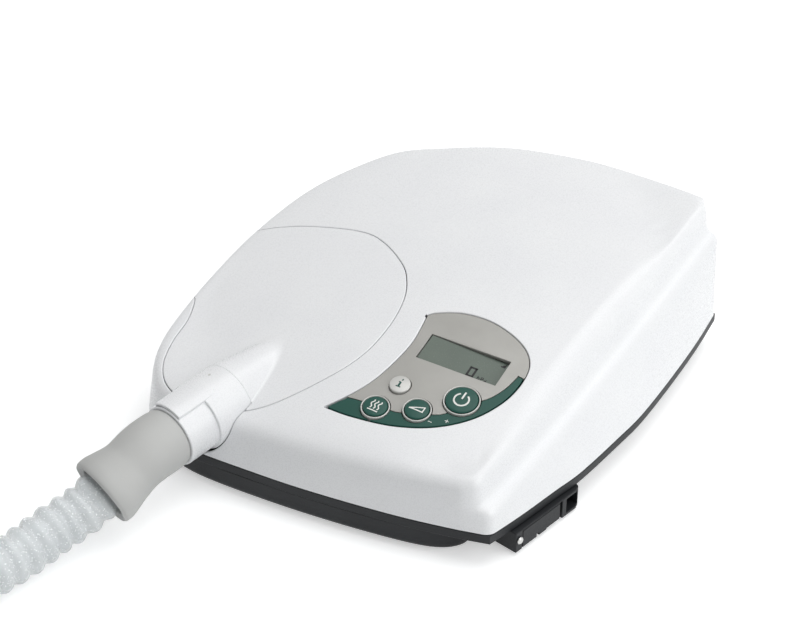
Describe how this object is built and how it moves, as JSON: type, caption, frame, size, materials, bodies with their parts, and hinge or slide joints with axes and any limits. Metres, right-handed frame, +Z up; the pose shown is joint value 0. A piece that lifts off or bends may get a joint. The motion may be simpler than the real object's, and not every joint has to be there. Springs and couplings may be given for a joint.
{
  "type": "auto CPAP machine",
  "caption": "Bedside breathing-pressure machine with a white wedge housing, dark base tray, keypad with display, turning outlet collar and a ribbed hose that ends in a coil.",
  "frame": {"origin": "centre of the footprint of the machine without its hose, on the surface it stands on", "axes": "+Z up, the low front with the nozzle faces -Y, +X to the side with the connections"},
  "size_m": [0.2846, 0.6373, 0.0771],
  "materials": {
    "board_green": "lacquered",
    "copper": "wound wire",
    "cuff_grey": "matt",
    "display_grey": "gloss",
    "filter_white": "felt",
    "foam_grey": "open foam",
    "hose_clear": "clear, ribbed",
    "housing_white": "satin gloss",
    "inner_grey": "plain",
    "key_green": "satin",
    "panel_silver": "satin metallic paint",
    "ring_grey": "satin",
    "rubber_black": "matt",
    "steel": "plain",
    "tray_black": "fine matt"
  },
  "bodies": {
    "machine": {"top_housing": "housing_white", "outlet_cover": "housing_white", "base_tray": "tray_black", "housing_screw_1": "steel", "housing_screw_2": "steel", "housing_screw_3": "steel", "housing_screw_4": "steel", "foot_front_left": "rubber_black", "foot_front_right": "rubber_black", "foot_back_left": "rubber_black", "foot_back_right": "rubber_black", "outlet_socket": "inner_grey", "hose_cuff": "cuff_grey", "hose": "hose_clear", "hose_coil": "hose_clear", "far_cuff": "cuff_grey", "hose_tie": "rubber_black", "display_bezel": "panel_silver", "keypad_band": "key_green", "power_button_ring": "ring_grey", "ramp_button_ring": "ring_grey", "heater_button_ring": "ring_grey", "display_glass": "display_grey", "display_module": "inner_grey", "control_board": "board_green", "connection_bay": "tray_black", "coarse_filter": "foam_grey", "fine_filter": "filter_white", "mains_pin_front": "steel", "mains_pin_back": "steel", "bay_screw": "steel", "blower_lower_case": "inner_grey", "blower_upper_case": "inner_grey", "motor": "steel", "blower_mount_1": "rubber_black", "blower_mount_2": "rubber_black", "blower_mount_3": "rubber_black", "outlet_duct": "rubber_black", "power_supply_board": "board_green", "transformer": "copper", "capacitor": "display_grey", "heat_sink": "steel", "intake_foam": "foam_grey", "data_socket": "tray_black"},
    "collar": {"outlet_collar": "housing_white"},
    "door": {"filter_door": "tray_black"},
    "fan": {"impeller": "filter_white"},
    "power_key": {"power_button": "key_green"},
    "ramp_key": {"ramp_button": "key_green"},
    "heater_key": {"heater_button": "key_green"},
    "info_key": {"info_button": "ring_grey"}
  },
  "joints": [
    {"name": "power_press", "type": "slide", "parent": "machine", "child": "power_key", "axis": [-0.0774, 0.2418, -0.9672], "range_m": [0, 0.0008], "stiffness_N_per_m": 600},
    {"name": "ramp_press", "type": "slide", "parent": "machine", "child": "ramp_key", "axis": [-0.0774, 0.2418, -0.9672], "range_m": [0, 0.0008], "stiffness_N_per_m": 600},
    {"name": "heater_press", "type": "slide", "parent": "machine", "child": "heater_key", "axis": [-0.0774, 0.2418, -0.9672], "range_m": [0, 0.0008], "stiffness_N_per_m": 600},
    {"name": "info_press", "type": "slide", "parent": "machine", "child": "info_key", "axis": [-0.0774, 0.2418, -0.9672], "range_m": [0, 0.0008], "stiffness_N_per_m": 600},
    {"name": "door_hinge", "type": "hinge", "parent": "machine", "child": "door", "pos_m": [0.09398, -0.04452, 0.0067], "axis": [0, 0, 1], "range_deg": [0, 100]},
    {"name": "collar_turn", "type": "hinge", "parent": "machine", "child": "collar", "pos_m": [-0.05172, -0.07502, 0.0342], "axis": [-0.2243, -0.9714, -0.0785], "range_deg": [0, 35]},
    {"name": "fan_spin", "type": "hinge", "parent": "machine", "child": "fan", "pos_m": [0.01987, 0.04178, 0.0259], "axis": [0, 0, 1], "continuous": true}
  ]
}
